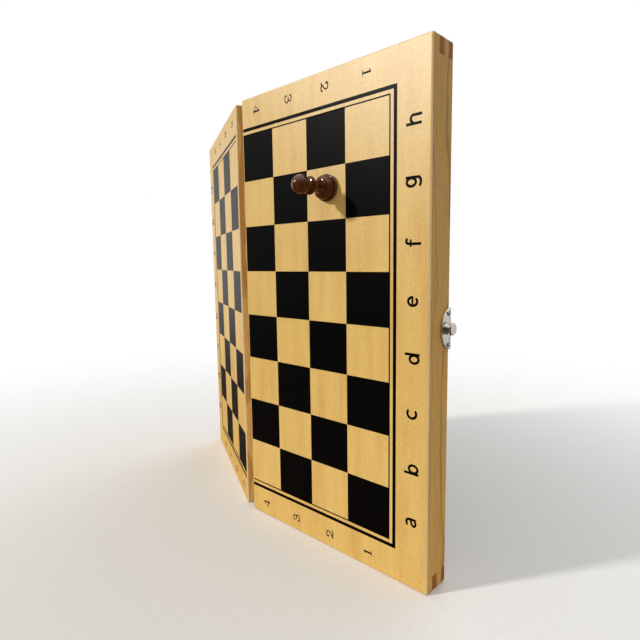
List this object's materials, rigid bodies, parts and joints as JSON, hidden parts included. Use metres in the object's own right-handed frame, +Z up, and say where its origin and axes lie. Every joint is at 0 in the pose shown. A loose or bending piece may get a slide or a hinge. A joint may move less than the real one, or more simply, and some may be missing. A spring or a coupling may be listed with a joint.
{
  "type": "folding chess set",
  "caption": "Folding wooden magnetic chess set: a hinged box whose outside is the playing board, with foam trays that hold the turned pieces.",
  "frame": {"origin": "middle of the white half's standing edge, on the surface it stands on", "axes": "+Z up along the files' edge, +X from the hinge to the white half's latch wall, +Y from the white playing face to its rim"},
  "size_m": [0.2868, 0.1193, 0.287],
  "materials": {
    "face_veneer": "satin lacquered maple veneer, printed black",
    "rail_wood": "satin lacquered beech",
    "plywood": "raw birch plywood",
    "steel_sheet": "rolled sheet",
    "tray_foam": "flocked foam",
    "nickel": "nickel plated",
    "pin_steel": "drawn wire",
    "light_piece": "gloss lacquered boxwood",
    "dark_piece": "gloss lacquered, stained dark brown",
    "magnet": "bare disc",
    "felt": "felt"
  },
  "bodies": {
    "white_half": {"white_hinge_rail": "rail_wood", "white_latch_rail": "rail_wood", "white_a_end_rail": "rail_wood", "white_h_end_rail": "rail_wood", "white_playing_face": "face_veneer", "white_steel_sheet": "steel_sheet", "white_core": "plywood", "white_tray": "tray_foam", "white_hinge_leaves": "nickel", "hinge_pins": "pin_steel", "catch_plate": "nickel", "catch_knob": "nickel", "white_screws": "nickel"},
    "black_half": {"black_hinge_rail": "rail_wood", "black_latch_rail": "rail_wood", "black_h_end_rail": "rail_wood", "black_a_end_rail": "rail_wood", "black_playing_face": "face_veneer", "black_steel_sheet": "steel_sheet", "black_core": "plywood", "black_tray": "tray_foam", "black_hinge_leaves": "nickel", "hook_plate": "nickel", "hook_pivot": "nickel", "black_screws": "nickel"},
    "latch_hook": {"latch_hook": "nickel"},
    "board_pawn": {"board_pawn": "dark_piece", "board_pawn_magnet": "magnet", "board_pawn_felt": "felt"},
    "white_rook_1": {"white_rook_1": "light_piece"},
    "white_knight_1": {"white_knight_1": "light_piece"},
    "white_bishop_1": {"white_bishop_1": "light_piece"},
    "white_queen": {"white_queen": "light_piece"},
    "white_king": {"white_king": "light_piece"},
    "white_bishop_2": {"white_bishop_2": "light_piece"},
    "white_knight_2": {"white_knight_2": "light_piece"},
    "white_rook_2": {"white_rook_2": "light_piece"},
    "white_pawn_1": {"white_pawn_1": "light_piece"},
    "white_pawn_2": {"white_pawn_2": "light_piece"},
    "white_pawn_3": {"white_pawn_3": "light_piece"},
    "white_pawn_4": {"white_pawn_4": "light_piece"},
    "white_pawn_5": {"white_pawn_5": "light_piece"},
    "white_pawn_6": {"white_pawn_6": "light_piece"},
    "white_pawn_7": {"white_pawn_7": "light_piece"},
    "white_pawn_8": {"white_pawn_8": "light_piece"},
    "dark_rook_1": {"dark_rook_1": "dark_piece"},
    "dark_knight_1": {"dark_knight_1": "dark_piece"},
    "dark_bishop_1": {"dark_bishop_1": "dark_piece"},
    "dark_queen": {"dark_queen": "dark_piece"},
    "dark_king": {"dark_king": "dark_piece"},
    "dark_bishop_2": {"dark_bishop_2": "dark_piece"},
    "dark_knight_2": {"dark_knight_2": "dark_piece"},
    "dark_rook_2": {"dark_rook_2": "dark_piece"},
    "dark_pawn_1": {"dark_pawn_1": "dark_piece"},
    "dark_pawn_2": {"dark_pawn_2": "dark_piece"},
    "dark_pawn_3": {"dark_pawn_3": "dark_piece"},
    "dark_pawn_4": {"dark_pawn_4": "dark_piece"},
    "dark_pawn_5": {"dark_pawn_5": "dark_piece"},
    "dark_pawn_6": {"dark_pawn_6": "dark_piece"},
    "dark_pawn_7": {"dark_pawn_7": "dark_piece"}
  },
  "joints": [
    {"name": "board_fold", "type": "hinge", "parent": "white_half", "child": "black_half", "pos_m": [-0.0727, 0.00995, 0], "axis": [0, 0, 1], "range_deg": [-152.4, 27.6]},
    {"name": "latch_swing", "type": "hinge", "parent": "black_half", "child": "latch_hook", "pos_m": [-0.20291, 0.0743, 0.1435], "axis": [-0.8862, 0.4633, 0], "range_deg": [-95, 15]},
    {"name": "board_pawn_pull", "type": "slide", "parent": "white_half", "child": "board_pawn", "axis": [0, -1, 0], "range_m": [0, 0.03]},
    {"name": "white_rook_1_lift", "type": "slide", "parent": "white_half", "child": "white_rook_1", "axis": [0, 1, 0], "range_m": [0, 0.03]},
    {"name": "white_knight_1_lift", "type": "slide", "parent": "white_half", "child": "white_knight_1", "axis": [0, 1, 0], "range_m": [0, 0.03]},
    {"name": "white_bishop_1_lift", "type": "slide", "parent": "white_half", "child": "white_bishop_1", "axis": [0, 1, 0], "range_m": [0, 0.03]},
    {"name": "white_queen_lift", "type": "slide", "parent": "white_half", "child": "white_queen", "axis": [0, 1, 0], "range_m": [0, 0.03]},
    {"name": "white_king_lift", "type": "slide", "parent": "white_half", "child": "white_king", "axis": [0, 1, 0], "range_m": [0, 0.03]},
    {"name": "white_bishop_2_lift", "type": "slide", "parent": "white_half", "child": "white_bishop_2", "axis": [0, 1, 0], "range_m": [0, 0.03]},
    {"name": "white_knight_2_lift", "type": "slide", "parent": "white_half", "child": "white_knight_2", "axis": [0, 1, 0], "range_m": [0, 0.03]},
    {"name": "white_rook_2_lift", "type": "slide", "parent": "white_half", "child": "white_rook_2", "axis": [0, 1, 0], "range_m": [0, 0.03]},
    {"name": "white_pawn_1_lift", "type": "slide", "parent": "white_half", "child": "white_pawn_1", "axis": [0, 1, 0], "range_m": [0, 0.03]},
    {"name": "white_pawn_2_lift", "type": "slide", "parent": "white_half", "child": "white_pawn_2", "axis": [0, 1, 0], "range_m": [0, 0.03]},
    {"name": "white_pawn_3_lift", "type": "slide", "parent": "white_half", "child": "white_pawn_3", "axis": [0, 1, 0], "range_m": [0, 0.03]},
    {"name": "white_pawn_4_lift", "type": "slide", "parent": "white_half", "child": "white_pawn_4", "axis": [0, 1, 0], "range_m": [0, 0.03]},
    {"name": "white_pawn_5_lift", "type": "slide", "parent": "white_half", "child": "white_pawn_5", "axis": [0, 1, 0], "range_m": [0, 0.03]},
    {"name": "white_pawn_6_lift", "type": "slide", "parent": "white_half", "child": "white_pawn_6", "axis": [0, 1, 0], "range_m": [0, 0.03]},
    {"name": "white_pawn_7_lift", "type": "slide", "parent": "white_half", "child": "white_pawn_7", "axis": [0, 1, 0], "range_m": [0, 0.03]},
    {"name": "white_pawn_8_lift", "type": "slide", "parent": "white_half", "child": "white_pawn_8", "axis": [0, 1, 0], "range_m": [0, 0.03]},
    {"name": "dark_rook_1_lift", "type": "slide", "parent": "black_half", "child": "dark_rook_1", "axis": [0.4633, 0.8862, 0], "range_m": [0, 0.03]},
    {"name": "dark_knight_1_lift", "type": "slide", "parent": "black_half", "child": "dark_knight_1", "axis": [0.4633, 0.8862, 0], "range_m": [0, 0.03]},
    {"name": "dark_bishop_1_lift", "type": "slide", "parent": "black_half", "child": "dark_bishop_1", "axis": [0.4633, 0.8862, 0], "range_m": [0, 0.03]},
    {"name": "dark_queen_lift", "type": "slide", "parent": "black_half", "child": "dark_queen", "axis": [0.4633, 0.8862, 0], "range_m": [0, 0.03]},
    {"name": "dark_king_lift", "type": "slide", "parent": "black_half", "child": "dark_king", "axis": [0.4633, 0.8862, 0], "range_m": [0, 0.03]},
    {"name": "dark_bishop_2_lift", "type": "slide", "parent": "black_half", "child": "dark_bishop_2", "axis": [0.4633, 0.8862, 0], "range_m": [0, 0.03]},
    {"name": "dark_knight_2_lift", "type": "slide", "parent": "black_half", "child": "dark_knight_2", "axis": [0.4633, 0.8862, 0], "range_m": [0, 0.03]},
    {"name": "dark_rook_2_lift", "type": "slide", "parent": "black_half", "child": "dark_rook_2", "axis": [0.4633, 0.8862, 0], "range_m": [0, 0.03]},
    {"name": "dark_pawn_1_lift", "type": "slide", "parent": "black_half", "child": "dark_pawn_1", "axis": [0.4633, 0.8862, 0], "range_m": [0, 0.03]},
    {"name": "dark_pawn_2_lift", "type": "slide", "parent": "black_half", "child": "dark_pawn_2", "axis": [0.4633, 0.8862, 0], "range_m": [0, 0.03]},
    {"name": "dark_pawn_3_lift", "type": "slide", "parent": "black_half", "child": "dark_pawn_3", "axis": [0.4633, 0.8862, 0], "range_m": [0, 0.03]},
    {"name": "dark_pawn_4_lift", "type": "slide", "parent": "black_half", "child": "dark_pawn_4", "axis": [0.4633, 0.8862, 0], "range_m": [0, 0.03]},
    {"name": "dark_pawn_5_lift", "type": "slide", "parent": "black_half", "child": "dark_pawn_5", "axis": [0.4633, 0.8862, 0], "range_m": [0, 0.03]},
    {"name": "dark_pawn_6_lift", "type": "slide", "parent": "black_half", "child": "dark_pawn_6", "axis": [0.4633, 0.8862, 0], "range_m": [0, 0.03]},
    {"name": "dark_pawn_7_lift", "type": "slide", "parent": "black_half", "child": "dark_pawn_7", "axis": [0.4633, 0.8862, 0], "range_m": [0, 0.03]}
  ]
}
